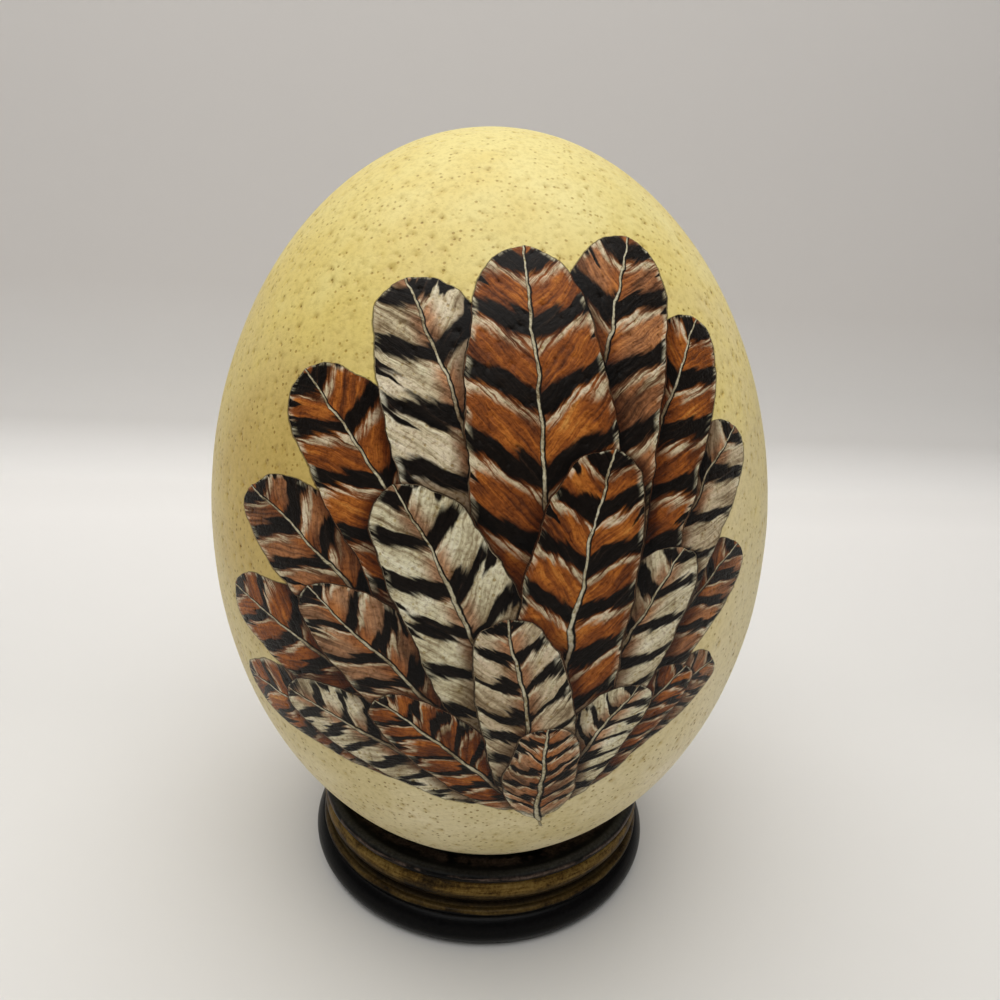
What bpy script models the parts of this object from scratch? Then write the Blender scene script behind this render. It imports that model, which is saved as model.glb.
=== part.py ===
"""Painted ostrich egg standing in a low turned wooden ring.

Metres, +Z up, front towards -Y. The origin is on the table under the middle of the egg.

The blown egg stands on its blunter end and leans a little towards -X. The ring is one turning. From
the table up it has a half-round foot, a thin bead, a quirk, an ovolo and a rounded rim, and its top
falls inwards to a rounded seat that follows the shell. Both pieces are turned shapes, so each is a
profile turned by a Screw modifier, which is then applied.
"""

import math

import bpy

MM = 0.001

# Egg: an ellipsoid of revolution that is slightly slimmer towards its top end
EGG_LENGTH = 160.6 * MM
EGG_WIDTH = 121.0 * MM
EGG_SLIMMER_TOP = 0.017
EGG_LEAN = math.radians(2.1)
EGG_MIDDLE_HEIGHT = 85.0 * MM
EGG_PROFILE_STEPS = 28

# Ring: outermost radius of each moulding, the height of its middle, and its own curve
STAND_X = 1.06 * MM
FOOT_RADIUS = 41.5 * MM
FOOT_HEIGHT = 8.0 * MM
BEAD_RADIUS = 39.7 * MM
BEAD_MIDDLE = 7.7 * MM
BEAD_CURVE = 0.95 * MM
QUIRK_RADIUS = 37.7 * MM
QUIRK_BOTTOM = 8.9 * MM
QUIRK_TOP = 10.0 * MM
OVOLO_RADIUS = 39.4 * MM
OVOLO_MIDDLE = 12.55 * MM
OVOLO_CURVE = 2.85 * MM
RIM_RADIUS = 39.35 * MM
RIM_MIDDLE = 16.2 * MM
RIM_CURVE = 1.05 * MM
BORE_RADIUS = 29.9 * MM
BORE_CHAMFER = 0.8 * MM
SEAT_CURVE = 4.0 * MM
SEAT_GAP = 0.3 * MM

TURNING_STEPS = 64
MERGE_DISTANCE = 0.00001
CREASE_ANGLE = math.radians(35)

EGGSHELL = {"color": (0.72, 0.60, 0.32, 1.0), "roughness": 0.45, "metallic": 0.0}
BLACK_AND_GOLD_WOOD = {"color": (0.03, 0.024, 0.018, 1.0), "roughness": 0.4, "metallic": 0.0}


def clear_scene():
    for old in list(bpy.data.objects):
        bpy.data.objects.remove(old, do_unlink=True)


def make_material(name, look):
    material = bpy.data.materials.new(name)
    material.use_nodes = True
    shader = material.node_tree.nodes["Principled BSDF"]
    shader.inputs["Base Color"].default_value = look["color"]
    shader.inputs["Roughness"].default_value = look["roughness"]
    shader.inputs["Metallic"].default_value = look["metallic"]
    return material


def arc(middle, radius, start, end, steps):
    """Points (r, z) along a round stretch; 0 degrees points outwards and 90 degrees up."""
    points = []
    for i in range(steps + 1):
        angle = math.radians(start + (end - start) * i / steps)
        points.append((middle[0] + radius * math.cos(angle), middle[1] + radius * math.sin(angle)))
    return points


def egg_point(angle):
    """The shell's (r, z) about its own middle, for 0 at the top end to pi at the bottom end."""
    r = EGG_WIDTH / 2 * math.sin(angle) * (1 - EGG_SLIMMER_TOP * math.cos(angle))
    return r, EGG_LENGTH / 2 * math.cos(angle)


def egg_profile():
    top = (0.0, EGG_LENGTH / 2)
    bottom = (0.0, -EGG_LENGTH / 2)
    between = [egg_point(math.pi * i / EGG_PROFILE_STEPS) for i in range(1, EGG_PROFILE_STEPS)]
    return [top] + between + [bottom]


def seat_middle():
    """The middle (r, z) of the seat's curve, which lies SEAT_GAP off the shell where they are nearest."""
    seat_r = BORE_RADIUS + SEAT_CURVE
    higher = math.pi / 2
    lower = math.pi
    for _ in range(40):
        angle = (higher + lower) / 2
        r, z = egg_point(angle)
        out = r / (EGG_WIDTH / 2) ** 2
        up = z / (EGG_LENGTH / 2) ** 2
        reach = (SEAT_CURVE + SEAT_GAP) / math.hypot(out, up)
        if r + reach * out > seat_r:
            higher = angle
        else:
            lower = angle
    return seat_r, EGG_MIDDLE_HEIGHT + z + reach * up


def stand_profile():
    """The ring's section, from the rim down its outer side, in along the table and up the bore."""
    rim = (RIM_RADIUS - RIM_CURVE, RIM_MIDDLE)
    ovolo = (OVOLO_RADIUS - OVOLO_CURVE, OVOLO_MIDDLE)
    bead = (BEAD_RADIUS - BEAD_CURVE, BEAD_MIDDLE)
    foot_curve = FOOT_HEIGHT / 2
    foot = (FOOT_RADIUS - foot_curve, foot_curve)
    points = arc(rim, RIM_CURVE, 95, -55, 5)
    points += arc(ovolo, OVOLO_CURVE, 50, -50, 5)
    points += [(QUIRK_RADIUS, QUIRK_TOP), (QUIRK_RADIUS, QUIRK_BOTTOM)]
    points += arc(bead, BEAD_CURVE, 115, -25, 4)
    points += arc(foot, foot_curve, 54, -90, 8)
    points += [(BORE_RADIUS + BORE_CHAMFER, 0.0), (BORE_RADIUS, BORE_CHAMFER)]
    points += arc(seat_middle(), SEAT_CURVE, 180, 95, 6)
    return points


def shade_creases(piece):
    """Keep the turned mesh in place of its profile, with the mouldings' corners shaded sharp."""
    bpy.context.view_layer.update()
    viewed = piece.evaluated_get(bpy.context.evaluated_depsgraph_get())
    profile = piece.data
    piece.data = bpy.data.meshes.new_from_object(viewed)
    piece.data.set_sharp_from_angle(angle=CREASE_ANGLE)
    piece.modifiers.clear()
    bpy.data.meshes.remove(profile)


def turned(name, profile, is_loop, material, collection):
    """Turn a profile of (r, z) points about the Z axis."""
    edges = [(i, i + 1) for i in range(len(profile) - 1)]
    if is_loop:
        edges.append((len(profile) - 1, 0))
    mesh = bpy.data.meshes.new(name)
    mesh.from_pydata([(r, 0.0, z) for r, z in profile], edges, [])
    mesh.materials.append(material)
    piece = bpy.data.objects.new(name, mesh)
    collection.objects.link(piece)
    turning = piece.modifiers.new("Turning", "SCREW")
    turning.axis = "Z"
    turning.steps = TURNING_STEPS
    turning.render_steps = TURNING_STEPS
    turning.use_merge_vertices = True
    turning.merge_threshold = MERGE_DISTANCE
    turning.use_smooth_shade = True
    shade_creases(piece)
    return piece


def make_egg(collection):
    material = make_material("eggshell", EGGSHELL)
    egg = turned("egg", egg_profile(), False, material, collection)
    egg.location = (0.0, 0.0, EGG_MIDDLE_HEIGHT)
    egg.rotation_euler = (0.0, -EGG_LEAN, 0.0)


def make_stand(collection):
    material = make_material("black_and_gold_wood", BLACK_AND_GOLD_WOOD)
    stand = turned("stand", stand_profile(), True, material, collection)
    stand.location = (STAND_X, 0.0, 0.0)


clear_scene()
parts = bpy.data.collections.new("painted_ostrich_egg")
bpy.context.scene.collection.children.link(parts)
make_egg(parts)
make_stand(parts)
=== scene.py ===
"""A painted ostrich egg resting in a low turned ring: its surfaces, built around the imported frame.

Metres, +Z up, the painted front towards -Y.
"""

import math
import random

import bmesh
import bpy
from mathutils import Matrix, Vector, noise


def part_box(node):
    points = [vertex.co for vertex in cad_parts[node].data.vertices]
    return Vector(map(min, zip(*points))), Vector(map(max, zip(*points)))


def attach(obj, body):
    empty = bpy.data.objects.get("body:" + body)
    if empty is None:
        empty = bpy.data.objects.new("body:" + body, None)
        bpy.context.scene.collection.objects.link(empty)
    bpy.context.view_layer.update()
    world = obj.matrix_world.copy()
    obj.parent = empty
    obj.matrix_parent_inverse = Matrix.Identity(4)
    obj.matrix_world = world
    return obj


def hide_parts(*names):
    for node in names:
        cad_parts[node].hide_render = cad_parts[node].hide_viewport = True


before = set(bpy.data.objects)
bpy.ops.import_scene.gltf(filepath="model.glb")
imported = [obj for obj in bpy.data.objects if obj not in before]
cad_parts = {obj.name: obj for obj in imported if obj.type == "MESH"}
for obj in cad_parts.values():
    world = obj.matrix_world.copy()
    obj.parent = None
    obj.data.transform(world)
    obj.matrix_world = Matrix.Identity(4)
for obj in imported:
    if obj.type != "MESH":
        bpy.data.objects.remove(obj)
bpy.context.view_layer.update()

MM = 0.001


# ---------------------------------------------------------------------------------------------------
# The camera: a phone held close and a little above the egg, tipped slightly to one side.
CAMERA_LENS = 27.0
CAMERA_SENSOR = 36.0
CAMERA_TARGET = Vector((2.08, 0.0, 87.42)) * MM
CAMERA_DISTANCE = 173.6 * MM
CAMERA_PITCH = math.radians(16.4)
CAMERA_ROLL = math.radians(3.0)
CAMERA_NEAREST = 10 * MM

camera_data = bpy.data.cameras.new("camera")
camera_data.lens = CAMERA_LENS
camera_data.sensor_width = CAMERA_SENSOR
camera_data.clip_start = CAMERA_NEAREST
camera = bpy.data.objects.new("camera", camera_data)
bpy.context.scene.collection.objects.link(camera)
camera_turn = Matrix.Rotation(math.pi / 2 - CAMERA_PITCH, 4, "X")
camera_turn = camera_turn @ Matrix.Rotation(CAMERA_ROLL, 4, "Z")
camera_back = camera_turn.to_3x3() @ Vector((0, 0, 1))
camera.matrix_world = Matrix.Translation(CAMERA_TARGET + camera_back * CAMERA_DISTANCE) @ camera_turn
bpy.context.scene.camera = camera


# ---------------------------------------------------------------------------------------------------
# The ring: one turning of close-grained wood, painted black all over. Its ovolo and bead are rubbed with
# antique gold that has gone dull and patchy, and the paint is worn through in a thin line on the rim.
# Its sizes are in mm. A pair of values for a mask says where it sets in and where it is whole.
RING_X = 1.06
RING_FOOT = 41.5
RING_FOOT_HEIGHT = 8.0
RING_BEAD = 39.7
RING_BEAD_Z = 7.7
RING_BEAD_CURVE = 0.95
RING_QUIRK = 37.7
RING_QUIRK_Z = (10.0, 8.9)
RING_OVOLO = 39.4
RING_OVOLO_Z = 12.55
RING_OVOLO_CURVE = 2.85
RING_RIM = 39.35
RING_RIM_Z = 16.2
RING_RIM_CURVE = 1.05
RING_BORE = 29.9
RING_BORE_CHAMFER = 0.8
RING_SEAT = (33.9, 12.5)
RING_SEAT_CURVE = 4.0
RING_TURNS = 240
RING_CREASE = math.radians(32)
RING_MERGE = 0.001

# Where each moulding's curve starts and ends in degrees, and its steps
RING_RIM_ARC = (95, -55, 10)
RING_OVOLO_ARC = (50, -50, 14)
RING_BEAD_ARC = (115, -25, 8)
RING_FOOT_ARC = (54, -90, 18)
RING_SEAT_ARC = (180, 95, 12)

# Noise that breaks up the finish, as scale per mm, detail and roughness. The streaks run round the ring.
RING_STREAK_SCALE = (0.14, 0.14, 1.9)
RING_STREAK = (1.0, 4.0, 0.6)
RING_BLOTCH = (0.15, 3.0, 0.6)
RING_FLECK = (1.5, 3.0, 0.65)

# How much gold covers the black at each height, how far the noise shifts that, and where the gold has
# rubbed off in patches, down to a least share
RING_TOP = RING_RIM_Z + RING_RIM_CURVE
RING_GILDING = ((7.7, 0.0), (8.1, 0.38), (8.5, 0.42), (8.8, 0.12), (9.9, 0.02), (11.1, 0.08),
                (12.2, 0.35), (13.2, 0.95), (14.5, 0.95), (15.2, 0.4), (15.7, 0.0))
RING_STREAK_SHIFT = 0.5
RING_BLOTCH_SHIFT = 0.8
RING_PATCHES = (0.30, 0.46)
RING_PATCH_LEAST = 0.35
RING_RUBS = (0.36, 0.46)
RING_RUB_LEAST = 0.5

# Where the rim is worn to the wood by height, and the streaks and blotches that the wear keeps to
RING_WEAR = ((15.9, 0.0), (16.5, 1.0), (16.95, 0.0))
RING_WORN_STREAKS = (0.38, 0.52)
RING_WORN_BLOTCHES = (0.38, 0.50)

# A painted grey sheen on the black just inside the rim, in place of reflected light: its inner and outer
# edge from the ring's axis, its lower edge, and how far to the left and right it reaches its full strength
RING_SHEEN_INNER = (36.8, 38.0)
RING_SHEEN_OUTER = (39.3, 38.7)
RING_SHEEN_LOWER = (14.5, 16.5)
RING_SHEEN_SIDES = (0.0, 22.0)
RING_SHEEN_LEAST = 0.35

# Colours through the noise, and shares of streak, fleck and blotch in the tone of the gold
RING_TONE_SHARES = (0.4, 0.35, 0.25)
RING_BLACK = ((0.3, (0.0015, 0.0015, 0.0017)), (0.7, (0.005, 0.0047, 0.005)))
# the greys of the painted sheen inside the rim
RING_SHEEN_GREY = ((0.3, (0.018, 0.018, 0.017)), (0.7, (0.048, 0.048, 0.045)))
RING_GOLD = ((0.30, (0.018, 0.009, 0.002)), (0.44, (0.085, 0.046, 0.009)), (0.56, (0.21, 0.13, 0.033)),
             (0.74, (0.37, 0.26, 0.09)))
RING_WOOD = ((0.3, (0.05, 0.033, 0.024)), (0.7, (0.17, 0.12, 0.095)))
RING_GLOSS = 0.07
RING_ROUGHNESS = 0.24
RING_FLECK_ROUGHNESS = 0.14
RING_GOLD_ROUGHNESS = 0.20
RING_GOLD_METAL = 0.3
RING_RELIEF = (0.05, 0.03)


def moulding(middle, curve, start, end, steps):
    """Points (r, z) along a round stretch of the ring's section; 0 degrees points outwards, 90 up."""
    angles = [math.radians(start + (end - start) * i / steps) for i in range(steps + 1)]
    return [(middle[0] + curve * math.cos(a), middle[1] + curve * math.sin(a)) for a in angles]


def ring_section():
    """The ring's section from the rim down its outer side and back up the bore."""
    foot_curve = RING_FOOT_HEIGHT / 2
    points = moulding((RING_RIM - RING_RIM_CURVE, RING_RIM_Z), RING_RIM_CURVE, *RING_RIM_ARC)
    points += moulding((RING_OVOLO - RING_OVOLO_CURVE, RING_OVOLO_Z), RING_OVOLO_CURVE, *RING_OVOLO_ARC)
    points += [(RING_QUIRK, z) for z in RING_QUIRK_Z]
    points += moulding((RING_BEAD - RING_BEAD_CURVE, RING_BEAD_Z), RING_BEAD_CURVE, *RING_BEAD_ARC)
    points += moulding((RING_FOOT - foot_curve, foot_curve), foot_curve, *RING_FOOT_ARC)
    points += [(RING_BORE + RING_BORE_CHAMFER, 0.0), (RING_BORE, RING_BORE_CHAMFER)]
    points += moulding(RING_SEAT, RING_SEAT_CURVE, *RING_SEAT_ARC)
    return points


def new_piece(name, mesh_edit, material):
    """An object at the origin from a finished bmesh, shaded smooth."""
    mesh = bpy.data.meshes.new(name)
    mesh_edit.to_mesh(mesh)
    mesh_edit.free()
    mesh.materials.append(material)
    mesh.shade_smooth()
    piece = bpy.data.objects.new(name, mesh)
    bpy.context.scene.collection.objects.link(piece)
    return piece


class Wire:
    """The output of a node. Sums on wires add Math nodes, and node() adds any other kind of node."""

    def __init__(self, tree, socket):
        self.tree = tree
        self.socket = socket

    def node(self, kind, settings=None, sockets=None, output=0):
        """A new node of this kind, its settings made first and then its sockets, by name or number."""
        node = self.tree.nodes.new(kind)
        for name, value in (settings or {}).items():
            if name == "stops":
                set_stops(node.color_ramp, value)
            elif name == "points":
                set_points(node.mapping, value)
            else:
                setattr(node, name, value)
        for key, value in (sockets or {}).items():
            if isinstance(value, Wire):
                self.tree.links.new(value.socket, node.inputs[key])
            else:
                node.inputs[key].default_value = value
        return Wire(self.tree, node.outputs[output])

    def maths(self, operation, *values, clamp=False):
        """A Math node on this wire and the values."""
        settings = {"operation": operation, "use_clamp": clamp}
        return self.node("ShaderNodeMath", settings, dict(enumerate((self, *values))))

    def __add__(self, other):
        return self.maths("ADD", other)

    __radd__ = __add__

    def __sub__(self, other):
        return self.maths("SUBTRACT", other)

    def __rsub__(self, other):
        return self.maths("MULTIPLY_ADD", -1.0, other)

    def __mul__(self, other):
        return self.maths("MULTIPLY", other)

    __rmul__ = __mul__

    def __truediv__(self, other):
        return self.maths("DIVIDE", other)

    def __abs__(self):
        return self.maths("ABSOLUTE")

    def scaled(self, by, plus):
        """by * wire + plus in one node."""
        return self.maths("MULTIPLY_ADD", by, plus)

    def swing(self, reach):
        """Noise about 0.5 turned into a shift about 0 that is this long from end to end."""
        return self.scaled(reach, -reach / 2)

    def at_least(self, least):
        """A mask from 0 to 1 raised to run from least to 1."""
        return self.scaled(1 - least, least)

    def rise(self, start, end):
        """0 below start and 1 above end, in a straight line between them. Start may be the higher."""
        return self.maths("MULTIPLY_ADD", 1 / (end - start), -start / (end - start), clamp=True)

    def smooth(self, start, end):
        """0 below start and 1 above end, easing in and out between them. Start may be the higher."""
        return self.node("ShaderNodeMapRange", {"interpolation_type": "SMOOTHSTEP"},
                         {"Value": self, "From Min": start, "From Max": end})

    def vector_maths(self, operation, *values, output=0):
        """A Vector Math node on this wire and the values. Its output 1 is a plain number."""
        sockets = dict(enumerate((self, *values)))
        return self.node("ShaderNodeVectorMath", {"operation": operation}, sockets, output)

    def along(self, way):
        """How far a place lies along a way from the origin."""
        return self.vector_maths("DOT_PRODUCT", way, output=1)

    def part(self, name):
        """One component of a vector wire, by its letter."""
        return self.along([float(letter == name) for letter in "XYZ"])

    def distance(self, point):
        """How far a place lies from a point."""
        return self.vector_maths("DISTANCE", point, output=1)

    def beside(self, name):
        """Another output of the same node, by its name."""
        return Wire(self.tree, self.socket.node.outputs[name])

    def to_colour(self, stops):
        """The value turned into a colour by a ramp of (position, colour or grey) stops."""
        return self.node("ShaderNodeValToRGB", {"stops": stops}, {0: self})

    def curved(self, points):
        """The value read off a smooth curve through (value, result) points, both between 0 and 1."""
        return self.node("ShaderNodeFloatCurve", {"points": points}, {"Value": self})

    def over(self, under, mask):
        """This colour laid over another where the mask is 1."""
        return self.node("ShaderNodeMix", {"data_type": "RGBA"}, {0: mask, 6: under, 7: self}, 2)

    def under(self, colour, mask):
        """This colour with a flat one laid over it where the mask is 1."""
        return self.node("ShaderNodeMix", {"data_type": "RGBA"}, {0: mask, 6: self, 7: (*colour, 1.0)}, 2)

    def times(self, other):
        """This colour multiplied by another."""
        return self.node("ShaderNodeMix", {"data_type": "RGBA", "blend_type": "MULTIPLY"},
                         {0: 1.0, 6: self, 7: other}, 2)


def set_stops(ramp, stops):
    """Give a ramp its (position, colour or grey) stops."""
    while len(ramp.elements) < len(stops):
        ramp.elements.new(0.5)
    for element, (position, colour) in zip(ramp.elements, stops):
        element.position = position
        element.color = (*colour, 1.0) if isinstance(colour, tuple) else (colour, colour, colour, 1.0)


def set_points(mapping, points):
    """Give a Float Curve its (value, result) points."""
    curve = mapping.curves[0]
    while len(curve.points) < len(points):
        curve.points.new(0.5, 0.5)
    for point, place in zip(curve.points, points):
        point.location = place
        point.handle_type = "AUTO_CLAMPED"
    mapping.update()


def grain(vector, scale, detail=2.0, roughness=0.5):
    """Soft noise about 0.5 with features about 1/scale apart."""
    return vector.node("ShaderNodeTexNoise", {"noise_dimensions": "3D"},
                       {"Vector": vector, "Scale": scale, "Detail": detail, "Roughness": roughness})


def stretched(vector, scale):
    """The place on a surface with each axis scaled, for noise that runs one way."""
    return vector.node("ShaderNodeMapping", None, {"Vector": vector, "Scale": scale})


def mixed(wires, shares):
    """The wires added up, each by its share."""
    total = wires[0] * shares[0]
    for wire, share in zip(wires[1:], shares[1:]):
        total = total + wire * share
    return total


def new_material(name, gloss):
    """A material, its shader with this specular level, and a wire on its Object coordinates in mm."""
    material = bpy.data.materials.new(name)
    material.use_nodes = True
    tree = material.node_tree
    shader = tree.nodes["Principled BSDF"]
    shader.inputs["Specular IOR Level"].default_value = gloss
    place = Wire(tree, tree.nodes.new("ShaderNodeTexCoord").outputs["Object"])
    in_mm = place.node("ShaderNodeVectorMath", {"operation": "SCALE"}, {0: place, "Scale": 1 / MM})
    return material, shader, in_mm


def feed(shader, name, wire):
    """Join a wire to one of the shader's sockets."""
    wire.tree.links.new(wire.socket, shader.inputs[name])


def feed_relief(shader, height):
    """Bumps from a wire that gives their height in mm."""
    feed(shader, "Normal", height.node("ShaderNodeBump", None, {"Height": height, "Distance": MM}))


def ring_finish():
    """Black paint with a painted grey sheen at the rim, patchy gold by height, wood where the rim is worn.
    """
    material, shader, place = new_material("black_and_gold_wood", RING_GLOSS)
    streak = grain(stretched(place, RING_STREAK_SCALE), *RING_STREAK)
    blotch = grain(place, *RING_BLOTCH)
    fleck = grain(place, *RING_FLECK)
    level = place.part("Z") + streak.swing(RING_STREAK_SHIFT) + blotch.swing(RING_BLOTCH_SHIFT)
    level = level / RING_TOP
    gilding = level.to_colour([(z / RING_TOP, share) for z, share in RING_GILDING])
    tone = mixed((streak, fleck, blotch), RING_TONE_SHARES)
    gilding = gilding * blotch.smooth(*RING_PATCHES).at_least(RING_PATCH_LEAST)
    gilding = gilding * tone.smooth(*RING_RUBS).at_least(RING_RUB_LEAST)
    from_axis = place.vector_maths("MULTIPLY", (1, 1, 0)).distance((RING_X, 0, 0))
    gilding = gilding * from_axis.smooth(RING_SEAT[0], RING_QUIRK)
    worn = level.to_colour([(z / RING_TOP, share) for z, share in RING_WEAR])
    worn = worn * streak.smooth(*RING_WORN_STREAKS) * blotch.smooth(*RING_WORN_BLOTCHES)
    # painted grey sheen just inside the rim, stronger towards the sides, in place of reflected light
    painted_sheen = from_axis.smooth(*RING_SHEEN_INNER) * from_axis.smooth(*RING_SHEEN_OUTER)
    painted_sheen = painted_sheen * place.part("Z").smooth(*RING_SHEEN_LOWER)
    painted_sheen = painted_sheen * abs(place.part("X")).smooth(*RING_SHEEN_SIDES).at_least(RING_SHEEN_LEAST)
    black = fleck.to_colour(RING_SHEEN_GREY).over(fleck.to_colour(RING_BLACK), painted_sheen)
    colour = tone.to_colour(RING_GOLD).over(black, gilding)
    colour = fleck.to_colour(RING_WOOD).over(colour, worn)
    feed(shader, "Base Color", colour)
    roughness = fleck * RING_FLECK_ROUGHNESS + RING_ROUGHNESS + gilding * RING_GOLD_ROUGHNESS
    feed(shader, "Roughness", roughness)
    feed(shader, "Metallic", gilding * RING_GOLD_METAL)
    feed_relief(shader, mixed((streak, fleck), RING_RELIEF))
    return material


section = bmesh.new()
corners = [section.verts.new((RING_X + r, 0.0, z)) for r, z in ring_section()]
for corner, following in zip(corners, corners[1:] + corners[:1]):
    section.edges.new((corner, following))
bmesh.ops.scale(section, vec=(MM, MM, MM), verts=section.verts)
bmesh.ops.spin(section, geom=section.verts[:] + section.edges[:], cent=(RING_X * MM, 0, 0),
               axis=(0, 0, 1), angle=2 * math.pi, steps=RING_TURNS, use_merge=True)
bmesh.ops.remove_doubles(section, verts=section.verts, dist=RING_MERGE * MM)
bmesh.ops.recalc_face_normals(section, faces=section.faces)
ring = new_piece("turned_ring", section, ring_finish())
ring.data.set_sharp_from_angle(angle=RING_CREASE)
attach(ring, "root")
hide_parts("stand")


# ---------------------------------------------------------------------------------------------------
# The shell: one blown ostrich egg, thick and cream coloured, and pitted all over by its pores. It stands
# on its blunter end in the ring and leans a little to the left. Its front is painted on the bare shell.
SHELL_LEAN = math.radians(2.1)
SHELL_SLIMMER_TOP = 0.017
SHELL_FINENESS = 7
SHELL_SCATTER = 0.005

# The length and height of each of the shell's shallow waves
SHELL_WAVES = ((11 * MM, 0.06 * MM), (2.7 * MM, 0.022 * MM))

# The share of the fine mesh's points that become pores, and the room that a pore needs. Each kind of pore
# has its share, its mouth's reach, how far the shell dips around it, and how deep and dark its pit is.
PORE_SEED = 23
PORE_SHARE = 0.18
PORE_ROOM = 0.7 * MM
PORE_KINDS = (
    (0.15, 0.29 * MM, 0.080 * MM, 0.12 * MM, 1.0),
    (0.30, 0.26 * MM, 0.060 * MM, 0.08 * MM, 0.6),
    (0.55, 0.23 * MM, 0.035 * MM, 0.05 * MM, 0.28),
)

# The floor of a pit as a share of its mouth, its rim's share of its darkness, and the draw that fades it
PORE_FLOOR_SHARE = 0.6
PORE_HALO = 0.3
PORE_FADING = (0.7, 1.0)

shell_low, shell_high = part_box("egg")
shell_middle = (shell_low + shell_high) / 2
shell_width = shell_high.y - shell_low.y
shell_height = shell_high.z - shell_low.z
shell_leant = shell_width * math.sin(SHELL_LEAN)
shell_length = math.sqrt(shell_height ** 2 - shell_leant ** 2) / math.cos(SHELL_LEAN)
shell_tilt = Matrix.Rotation(-SHELL_LEAN, 3, "Y")

# The shell's UV map is a chart that keeps areas: the front half is one disc and the back half another.
# Each has its middle and the length of a mm on the map.
CHART_FRONT = (0.285, 0.5)
CHART_BACK = (0.785, 0.5)
CHART_FRONT_SIZE = 3.3 / 1024
CHART_BACK_SIZE = 2.45 / 1024


def on_shell(direction):
    """The point of the smooth shell in a direction of the unit sphere."""
    slim = 1 - SHELL_SLIMMER_TOP * direction.z
    reach = Vector((slim * shell_width, slim * shell_width, shell_length)) / 2
    return shell_middle + shell_tilt @ (direction * reach)


def off_shell(point):
    """The direction of the unit sphere that a point on the shell lies in."""
    x, y, z = shell_tilt.transposed() @ (point - shell_middle)
    return Vector((x / shell_width, y / shell_width, z / shell_length)).normalized()


def chart_place(direction, front):
    """Where a direction lies on the chart, in mm from the middle of its disc."""
    side = -direction.y if front else direction.y
    spread = math.sqrt(2 / (1 + side))
    across = direction.x if front else -direction.x
    return spread * across * shell_width / 2 / MM, spread * direction.z * shell_length / 2 / MM


def cut_pores(shell, dark, draw):
    """Dip the shell at scattered points, open each into a small mouth and sink the mouth's floor."""
    kinds = [[] for _ in PORE_KINDS]
    shares = [kind[0] for kind in PORE_KINDS]
    taken = set()
    for vertex in shell.verts:
        crowded = any(edge.other_vert(vertex) in taken or edge.calc_length() < PORE_ROOM
                      for edge in vertex.link_edges)
        if draw.random() < PORE_SHARE and not crowded:
            taken.add(vertex)
            draw.choices(kinds, shares)[0].append(vertex)
    for pores, (_, reach, dip, depth, darkness) in zip(kinds, PORE_KINDS):
        for vertex in pores:
            vertex.co -= off_shell(vertex.co) * dip
        opened = bmesh.ops.bevel(shell, geom=pores, offset=reach, offset_type="OFFSET", segments=1,
                                 profile=0.5, affect="VERTICES", clamp_overlap=False, material=-1)
        mouths = [face for face in opened["faces"] if face.is_valid]
        for mouth in mouths:
            for vertex in mouth.verts:
                vertex[dark] = darkness * PORE_HALO
        bmesh.ops.inset_individual(shell, faces=mouths, thickness=reach * (1 - PORE_FLOOR_SHARE),
                                   depth=-depth, use_even_offset=True)
        for mouth in mouths:
            shown = darkness * draw.uniform(*PORE_FADING)
            for vertex in mouth.verts:
                vertex[dark] = shown


def shell_mesh():
    """A fine sphere drawn out to the egg, uneven as a grown shell is, with its pores and its chart."""
    draw = random.Random(PORE_SEED)
    shell = bmesh.new()
    dark = shell.verts.layers.float.new("pore")
    bmesh.ops.create_icosphere(shell, subdivisions=SHELL_FINENESS, radius=1.0)
    for vertex in shell.verts:
        shift = Vector([draw.uniform(-SHELL_SCATTER, SHELL_SCATTER) for _ in range(3)])
        outward = (vertex.co + shift).normalized()
        place = on_shell(outward)
        swell = sum(noise.noise(place / length) * height for length, height in SHELL_WAVES)
        vertex.co = place + outward * swell
    cut_pores(shell, dark, draw)
    chart = shell.loops.layers.uv.new("OFBake")
    for face in shell.faces:
        front = off_shell(face.calc_center_median()).y < 0
        middle, size = (CHART_FRONT, CHART_FRONT_SIZE) if front else (CHART_BACK, CHART_BACK_SIZE)
        for loop in face.loops:
            x, y = chart_place(off_shell(loop.vert.co), front)
            loop[chart].uv = (middle[0] + x * size, middle[1] + y * size)
    bmesh.ops.recalc_face_normals(shell, faces=shell.faces)
    return shell


# The bare shell's colour from its lower to its upper end, with mottled borders, paler and greyer at its
# lower end as painted light from the table below; and what tints it from left to right, with a paler
# painted light towards its right side. Noise is given as scale per mm, detail and roughness.
SHELL_TALL = 165.0
SHELL_BROAD = 120.0
SHELL_MOTTLE = (0.055, 3.0, 0.6)
SHELL_MOTTLE_SHIFT = 0.7
SHELL_SPECKLE = (1.05, 3.0, 0.65)
SHELL_TONES_AND_LIGHT = ((0.05, (0.97, 0.86, 0.59)), (0.30, (0.80, 0.68, 0.365)), (0.58, (0.78, 0.64, 0.285)),
               (0.80, (0.82, 0.665, 0.225)), (0.97, (0.87, 0.75, 0.31)))
SHELL_SIDE_TINT_AND_LIGHT = ((0.1, (0.95, 0.935, 0.87)), (0.3, (0.92, 0.90, 0.82)), (0.5, (0.925, 0.92, 0.88)),
               (0.70, (0.94, 0.93, 0.89)), (0.86, (1.09, 1.11, 1.30)), (0.97, (0.97, 0.975, 0.95)))
SHELL_SPECKS = ((0.28, (0.84, 0.82, 0.74)), (0.55, (1.0, 1.0, 1.0)))
SHELL_GLOSS = 0.04
SHELL_ROUGHNESS = 0.42
SHELL_SPECKLE_ROUGHNESS = 0.14
SHELL_SPECKLE_HEIGHT = 0.09
SHELL_COAT = 0.54
SHELL_COAT_ROUGHNESS = 0.40

# A browner stain on the left of the front: its middle in mm, how near to that it sets in and is whole, and
# how far the mottling shifts its edge
STAIN = (0.64, 0.465, 0.14)
STAIN_MIDDLE = (-37.0, -50.0, 97.0)
STAIN_REACH = (34.0, 8.0)
STAIN_SHIFT = 30.0
STAIN_STRENGTH = 0.9

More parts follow.
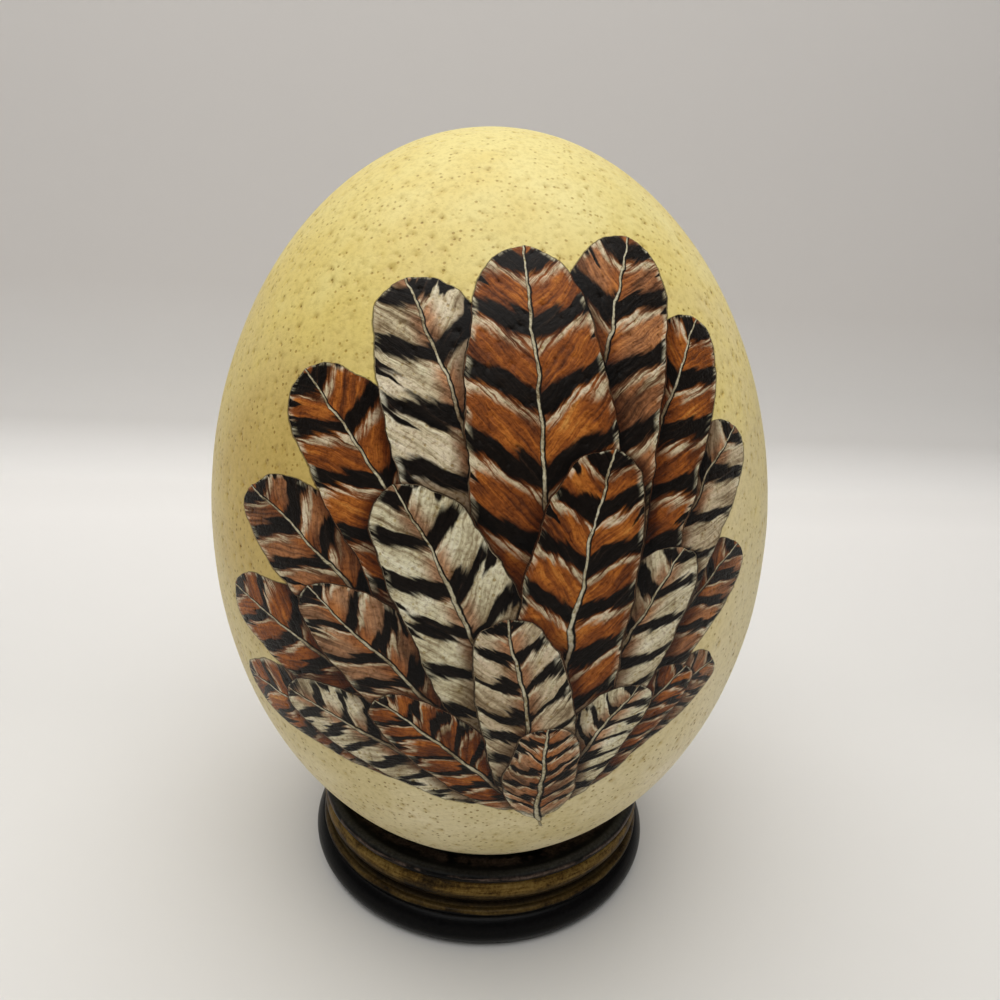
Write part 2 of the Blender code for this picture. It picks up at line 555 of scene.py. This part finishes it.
# Pinpricks too fine for the mesh: the number to a mm, how near to its middle each sets in and is whole,
# and the draw from which one shows
PINPRICKS = 0.95
PINPRICK_REACH = (0.33, 0.14)
PINPRICK_DRAW = (0.22, 0.90)
PINPRICK_DARKNESS = 0.75
PINPRICK_DEPTH = 0.07

# How far paint fills the pores, how they darken down the shell, and what they do to its colour
PORES_PAINTED_OVER = 0.35
PORES_DARKEN_DOWN = (0.75, 0.10)
PORES_DARKER = 0.5
PORES_PALEST = 0.85
PORE_TONES = ((0.0, (1.0, 1.0, 1.0)), (0.4, (0.76, 0.69, 0.52)), (1.0, (0.38, 0.29, 0.15)))

# Each painted feather: the foot of its quill and its tip on the chart, how far its middle bows out to the
# left, its widest half, and how cream it is (0 rust, 1 cream). The lowest is painted first.
FEATHERS = (
    ((4, -36), (-51, -24), -5, 8.5, 0.0),
    ((16, -36), (46, -16), 4, 7.5, 0.2),
    ((5, -36), (-51, -3), -7, 9.5, 0.0),
    ((16, -36), (50, 8), 6, 9.0, 0.1),
    ((6, -36), (-44, 19), -8, 10.5, 0.1),
    ((15, -36), (49, 31), 7, 10.5, 0.7),
    ((7, -37), (-32, 40), -8, 11.0, 0.0),
    ((14, -37), (41, 52), 6, 11.0, 0.0),
    ((9, -38), (-14, 56), -6, 12.0, 0.8),
    ((13, -38), (27, 67), 5, 12.0, 0.1),
    ((11, -38), (6, 62), -2, 12.0, 0.0),
    ((8, -42), (-37, -20), -4, 8.0, 0.9),
    ((15, -42), (38, -14), 4, 7.5, 0.0),
    ((9, -43), (-30, 3), -5, 9.0, 0.2),
    ((14, -43), (35, 10), 5, 9.0, 0.9),
    ((10, -44), (-14, 22), -4, 9.5, 1.0),
    ((13, -44), (21, 28), 3, 9.5, 0.0),
    ((11.2, -46.5), (-18, -16), -3, 7.0, 0.0),
    ((12.0, -46.5), (28, -14), 3, 7.0, 1.0),
    ((11.5, -48), (4, 1), -1, 8.0, 0.7),
    ((11.5, -50), (12, -20), 1, 6.5, 0.2),
)

# A feather's half width along its length, as shares; below 0 there is no vane
FEATHER_OUTLINE = ((0.0, -0.22), (0.015, 0.02), (0.10, 0.05), (0.20, 0.56), (0.34, 0.88), (0.55, 1.0),
                   (0.76, 0.97), (0.86, 0.86), (0.93, 0.68), (0.97, 0.46), (1.0, -0.22))

# The feathers' soft edge and their wobble in mm, and the shade that one casts on those below it: where it
# is darkest and where it ends, in mm inwards from its edge, and the light that is left in it
PAINT_EDGE = 0.18
PAINT_SHAKE = (0.12, 4.0)
PAINT_WOBBLE = (3.2, 2.6, 0.0)
OVERLAP_SHADE = (0.5, -3.2)
OVERLAP_LIGHT = 0.25

# How the barbs slant, how far apart the noise of the two vanes is, the strokes and clumps of barbs with
# their scales across and along the barbs, patches of tint, and dabs
BARB_SLANT = 1.15
VANE_APART = 23.0
STROKE_SCALE = (0.95, 0.13)
STROKE = (1.0, 4.0, 0.70)
CLUMP_SCALE = (0.30, 0.07)
CLUMP = (1.0, 2.0)
PATCH = (0.10, 3.0, 0.6)
DAB = (1.4, 3.0, 0.65)
TINT_SHARES = (0.6, 0.5)
TINT_CLUMPS = (0.25, -0.175)

# The dark bars: their slant, their spacing as a share of the feather, how far clumps and strokes shift
# them in mm, and the shares of the spacing where each bar and its pale line start and end
BAR_SLANT = 0.55
BAR_SHARE = 0.115
BAR_CLUMP_SHIFT = 6.0
BAR_STROKE_SHIFT = 2.2
BAR_STARTS = (0.14, 0.23)
BAR_ENDS = (0.62, 0.50)
PALE_LINE_STARTS = (0.56, 0.62)
PALE_LINE_ENDS = (0.78, 0.66)
PALE_LINE_STROKES = (0.40, 0.54)
PALE_LINE_STRENGTH = 0.75

# How far from the shaft a cream feather turns cream, the down at its foot, its fringe, the splits in its
# vane, and its shaft, which tapers and is lit a little left of its middle
CREAM_REACH = (0.8, 3.6)
CREAM_LEAST = 0.25
DOWN_REACH = (0.30, 0.12)
DOWN_SHARES = (0.8, 0.2)
DOWN_TUFTS = (0.34, 0.5)
DOWN_STRENGTH = 0.85
FRINGE_REACH = (1.4, 0.3)
FRINGE_SHARES = (0.5, 0.5)
FRINGE_TUFTS = (0.46, 0.58)
FRINGE_STRENGTH = 0.7
SPLITS = (0.57, 0.62)
SPLITS_CLOSE = 0.035
SHAFT_TAPER = 0.72
SHAFT_SIDES = (1.1, 0.8)
SHAFT_LIT_SIDE = 0.1
SHAFT_LIGHT = (0.62, 0.30)
SHAFT_LIGHT_STRENGTH = 0.8

# The paints through the noise, how much smoother than the shell they are, and how high in mm the strokes,
# dabs, bars and shafts stand on it
PAINT_HEIGHTS = (0.28, 0.20, 0.05, 0.10)
PAINT_SMOOTHER = 0.12
PAINT_COAT = 0.12
RUST = ((0.28, (0.032, 0.010, 0.005)), (0.40, (0.125, 0.036, 0.011)), (0.50, (0.29, 0.080, 0.015)),
        (0.60, (0.52, 0.165, 0.026)), (0.74, (0.72, 0.35, 0.085)))
BONE = ((0.28, (0.10, 0.062, 0.030)), (0.41, (0.38, 0.30, 0.17)), (0.52, (0.80, 0.73, 0.49)),
        (0.68, (0.98, 0.94, 0.75)))
SOOT = ((0.30, (0.0022, 0.0014, 0.0010)), (0.60, (0.010, 0.0065, 0.0045)), (0.76, (0.060, 0.034, 0.020)))
PAINT_DABS = ((0.36, (0.62, 0.56, 0.52)), (0.50, (0.92, 0.92, 0.92)), (0.64, (1.0, 1.0, 1.0)))
SHADOWS = ((0.0, (0.05, 0.035, 0.03)), (0.5, (0.36, 0.29, 0.25)), (1.0, (1.0, 1.0, 1.0)))


def vector_of(x, y, z):
    """A vector wire from three values, the first of them a wire."""
    return x.node("ShaderNodeCombineXYZ", None, {0: x, 1: y, 2: z})


def vector_over(under, over, mask):
    """One vector laid over another where the mask is 1."""
    return mask.node("ShaderNodeMix", {"data_type": "VECTOR"}, {0: mask, 4: under, 5: over}, 1)


def measured(vector, origin, unit, turn=0.0):
    """The place on a flat map from an origin, in this unit and along axes that are turned."""
    return vector.node("ShaderNodeMapping", {"vector_type": "TEXTURE"},
                       {"Vector": vector, "Location": (*origin, 0), "Rotation": (0, 0, turn),
                        "Scale": (unit, unit, 1)})


def on_feather(chart, feather):
    """The share of a feather's length along and beside its shaft, and its vane's half width there."""
    foot, tip, bow, half_width, _ = feather
    reach = Vector(tip) - Vector(foot)
    length = reach.length
    local = measured(chart, foot, length, math.atan2(reach.y, reach.x))
    along = local.part("X")
    side = (along * along - along).scaled(4 * bow / length, local.part("Y"))
    lowest = FEATHER_OUTLINE[0][1]
    outline = along.curved([(at, (width - lowest) / (1 - lowest)) for at, width in FEATHER_OUTLINE])
    vane = outline.scaled((1 - lowest) * half_width / length, lowest * half_width / length)
    return length, vector_of(along, side, vane), vane - abs(side)


def find_feather(chart):
    """The place on the uppermost feather, its kind (cream, length, painted), and how well it is lit."""
    spot = chart.node("ShaderNodeCombineXYZ")
    kind = spot
    light = chart.node("ShaderNodeValue")
    near, far = OVERLAP_SHADE
    for feather in FEATHERS:
        *_, cream = feather
        length, place, inside = on_feather(chart, feather)
        mask = inside.rise(-PAINT_EDGE / length, PAINT_EDGE / length)
        spot = vector_over(spot, place, mask)
        kind = vector_over(kind, (cream, length, 1.0), mask)
        shade = inside.node("ShaderNodeMapRange", None,
                            {"Value": inside, "From Min": far / length, "From Max": near / length,
                             "To Min": 1.0, "To Max": OVERLAP_LIGHT})
        light = (light * shade).maths("MAXIMUM", mask)
    return spot, kind, light


def barbed(barb, out, length, scale, texture):
    """Noise drawn out along the barbs, which differs from feather to feather."""
    return grain(vector_of(barb * scale[0], out * scale[1], length), *texture)


def painted_feathers(chart):
    """The colour and the thickness in mm of the painting, and where it covers the shell."""
    shake = grain(chart, *PAINT_SHAKE).beside("Color").vector_maths("SUBTRACT", (0.5, 0.5, 0.5))
    chart = shake.vector_maths("MULTIPLY_ADD", PAINT_WOBBLE, chart)
    spot, kind, light = find_feather(chart)
    cream = kind.part("X")
    length = kind.part("Y").maths("MAXIMUM", 1.0)
    painted = kind.part("Z")
    share = spot.part("X")
    side = spot.part("Y") * length
    out = abs(side)
    along = share * length
    to_edge = spot.part("Z") * length - out

    # brush strokes follow the barbs, which leave the shaft on a slant
    barb = out.scaled(-BARB_SLANT, along) + side.maths("GREATER_THAN", 0.0) * VANE_APART
    stroke = barbed(barb, out, length, STROKE_SCALE, STROKE)
    clump = barbed(barb, out, length, CLUMP_SCALE, CLUMP)
    patch = grain(chart, *PATCH)
    tint = mixed((stroke, patch), TINT_SHARES) + clump.scaled(*TINT_CLUMPS)

    # dark bars across the vane, each with a pale line on its lower side
    from_tip = (length - along) + out * BAR_SLANT
    from_tip = from_tip + clump.swing(BAR_CLUMP_SHIFT) + stroke.swing(BAR_STROKE_SHIFT)
    saw = (from_tip / (length * BAR_SHARE)).maths("FRACT")
    bar = saw.smooth(*BAR_STARTS) * saw.smooth(*BAR_ENDS)
    pale_line = saw.smooth(*PALE_LINE_STARTS) * saw.smooth(*PALE_LINE_ENDS)
    pale_line = pale_line * stroke.smooth(*PALE_LINE_STROKES)
    bone = tint.to_colour(BONE)
    colour = bone.over(tint.to_colour(RUST), cream * out.smooth(*CREAM_REACH).at_least(CREAM_LEAST))
    colour = bone.over(colour, pale_line * PALE_LINE_STRENGTH)
    colour = stroke.to_colour(SOOT).over(colour, bar)

    # pale down at the foot, a pale fringe, dark gaps where the vane has split, and the shaft
    down = share.smooth(*DOWN_REACH) * mixed((stroke, clump), DOWN_SHARES).smooth(*DOWN_TUFTS)
    colour = bone.over(colour, down * DOWN_STRENGTH)
    fringe = to_edge.smooth(*FRINGE_REACH) * mixed((stroke, clump), FRINGE_SHARES).smooth(*FRINGE_TUFTS)
    colour = bone.over(colour, fringe * FRINGE_STRENGTH)
    split = (clump - to_edge * SPLITS_CLOSE).smooth(*SPLITS)
    colour = stroke.to_colour(SOOT).over(colour, split)
    shaft_half = share.scaled(-SHAFT_TAPER, 1.0)
    on_shaft = (out / shaft_half).rise(*SHAFT_SIDES)
    colour = stroke.to_colour(SOOT).over(colour, on_shaft)
    shaft_light = abs((side - SHAFT_LIT_SIDE) / shaft_half).rise(*SHAFT_LIGHT)
    colour = bone.over(colour, shaft_light * SHAFT_LIGHT_STRENGTH)

    # dabs of thicker paint all over, and the shade under the feathers that lie on top
    dab = grain(chart, *DAB)
    colour = colour.times(light.to_colour(SHADOWS)).times(dab.to_colour(PAINT_DABS))
    thickness = painted * mixed((stroke, dab, bar, on_shaft), PAINT_HEIGHTS)
    return colour, thickness, painted


def shell_finish():
    """Cream shell with darker pores, and a spray of barred feathers painted on its front."""
    material, shader, place = new_material("painted_eggshell", SHELL_GLOSS)
    shader.inputs["Coat Roughness"].default_value = SHELL_COAT_ROUGHNESS
    shell_map = place.node("ShaderNodeUVMap", {"uv_map": "OFBake"})
    chart = measured(shell_map, CHART_FRONT, CHART_FRONT_SIZE)
    pore = place.node("ShaderNodeAttribute", {"attribute_name": "pore"}, None, 2)
    mottle = grain(place, *SHELL_MOTTLE)
    speckle = grain(place, *SHELL_SPECKLE)
    level = place.part("Z") / SHELL_TALL
    # the shell's colour by height, painted paler and greyer at its lower end for the light from the table
    shell = (level + mottle.swing(SHELL_MOTTLE_SHIFT)).to_colour(SHELL_TONES_AND_LIGHT)
    stain = (place.distance(STAIN_MIDDLE) + mottle.swing(STAIN_SHIFT)).smooth(*STAIN_REACH)
    shell = shell.under(STAIN, stain * STAIN_STRENGTH)
    # tint from left to right, with a painted paler light towards the right side
    across = place.part("X") / SHELL_BROAD + 0.5
    shell = shell.times(across.to_colour(SHELL_SIDE_TINT_AND_LIGHT)).times(speckle.to_colour(SHELL_SPECKS))
    paint, thickness, painted = painted_feathers(chart)
    cell = place.node("ShaderNodeTexVoronoi", None, {"Vector": place, "Scale": PINPRICKS})
    drawn = cell.beside("Color").part("X")
    pinprick = cell.smooth(*PINPRICK_REACH) * drawn.smooth(*PINPRICK_DRAW)
    pore = (pore + pinprick * PINPRICK_DARKNESS) * painted.scaled(-PORES_PAINTED_OVER, 1.0)
    pore = pore * level.smooth(*PORES_DARKEN_DOWN).scaled(PORES_DARKER, PORES_PALEST)
    colour = paint.over(shell, painted).times(pore.to_colour(PORE_TONES))
    feed(shader, "Base Color", colour)
    roughness = speckle.scaled(SHELL_SPECKLE_ROUGHNESS, SHELL_ROUGHNESS) - painted * PAINT_SMOOTHER
    feed(shader, "Roughness", roughness)
    feed(shader, "Coat Weight", painted.scaled(PAINT_COAT - SHELL_COAT, SHELL_COAT))
    feed_relief(shader, thickness + speckle * SHELL_SPECKLE_HEIGHT - pinprick * PINPRICK_DEPTH)
    return material


egg = new_piece("painted_shell", shell_mesh(), shell_finish())
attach(egg, "root")
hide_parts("egg")


# ---------------------------------------------------------------------------------------------------
# The table and backdrop: one pale sheet that lies flat and curves up behind, not part of the object. Its
# colour holds painted shade: palest before the curve, darker towards the front and above the curve. The
# painted shade goes by the way back and up it, as shares of a reach.
SHEET_FRONT = -1.4
SHEET_CURVE_FROM = 0.315
SHEET_CURVE = 0.035
SHEET_CURVE_STEPS = 24
SHEET_TOP = 1.3
SHEET_HALF_WIDTH = 1.8
SHEET_TONE_REACH = 0.5
SHEET_PAINTED_SHADE = ((0.12, (0.70, 0.69, 0.67)), (0.50, (0.84, 0.825, 0.805)), (0.65, (0.82, 0.805, 0.785)),
               (0.785, (0.78, 0.765, 0.75)), (0.84, (0.72, 0.705, 0.69)), (0.95, (0.655, 0.63, 0.61)))
SHEET_TURN = math.radians(6)
SHEET_GLOSS = 0.3
SHEET_ROUGHNESS = 0.85

sheet = bmesh.new()
line = [(SHEET_FRONT, 0.0)]
for i in range(SHEET_CURVE_STEPS + 1):
    angle = math.pi / 2 * i / SHEET_CURVE_STEPS
    line.append((SHEET_CURVE_FROM + SHEET_CURVE * math.sin(angle), SHEET_CURVE * (1 - math.cos(angle))))
line.append((SHEET_CURVE_FROM + SHEET_CURVE, SHEET_TOP))
points = [sheet.verts.new((-SHEET_HALF_WIDTH, y, z)) for y, z in line]
edges = [sheet.edges.new(pair) for pair in zip(points, points[1:])]
swept = bmesh.ops.extrude_edge_only(sheet, edges=edges)
bmesh.ops.translate(sheet, vec=(2 * SHEET_HALF_WIDTH, 0, 0),
                    verts=[v for v in swept["geom"] if isinstance(v, bmesh.types.BMVert)])
bmesh.ops.rotate(sheet, matrix=Matrix.Rotation(SHEET_TURN, 3, "Z"), verts=sheet.verts)
bmesh.ops.recalc_face_normals(sheet, faces=sheet.faces)
sheet_material, sheet_shader, sheet_place = new_material("pale_sheet", SHEET_GLOSS)
sheet_shader.inputs["Roughness"].default_value = SHEET_ROUGHNESS
up_the_sheet = (-math.sin(SHEET_TURN), math.cos(SHEET_TURN), 1.0)
# painted shade: the sheet darkens towards the front and up the backdrop
sheet_way = sheet_place.along(up_the_sheet) * (MM / SHEET_TONE_REACH)
feed(sheet_shader, "Base Color", sheet_way.to_colour(SHEET_PAINTED_SHADE))
backdrop = new_piece("pale_sheet", sheet, sheet_material)


# ---------------------------------------------------------------------------------------------------
# The light: one broad soft lamp overhead and a dim even room.
LAMP_PLACE = (-0.075, -0.02, 1.0)
LAMP_AIM = (0.0, 0.0, 0.09)
LAMP_WIDTH = 1.7
LAMP_DEPTH = 1.2
LAMP_POWER = 18.8
LAMP_COLOUR = (1.0, 0.99, 0.97)
ROOM_COLOUR = (0.62, 0.61, 0.60)
ROOM_STRENGTH = 0.18

lamp = bpy.data.lights.new("overhead", "AREA")
lamp.shape = "RECTANGLE"
lamp.size = LAMP_WIDTH
lamp.size_y = LAMP_DEPTH
lamp.energy = LAMP_POWER
lamp.color = LAMP_COLOUR
overhead = bpy.data.objects.new("overhead", lamp)
overhead.location = LAMP_PLACE
overhead.rotation_euler = (Vector(LAMP_PLACE) - Vector(LAMP_AIM)).to_track_quat("Z", "Y").to_euler()
overhead.visible_camera = False
bpy.context.scene.collection.objects.link(overhead)

room = bpy.data.worlds.new("room")
room.use_nodes = True
background = room.node_tree.nodes["Background"]
background.inputs["Color"].default_value = (*ROOM_COLOUR, 1.0)
background.inputs["Strength"].default_value = ROOM_STRENGTH
bpy.context.scene.world = room
bpy.context.scene.view_settings.view_transform = "Standard"
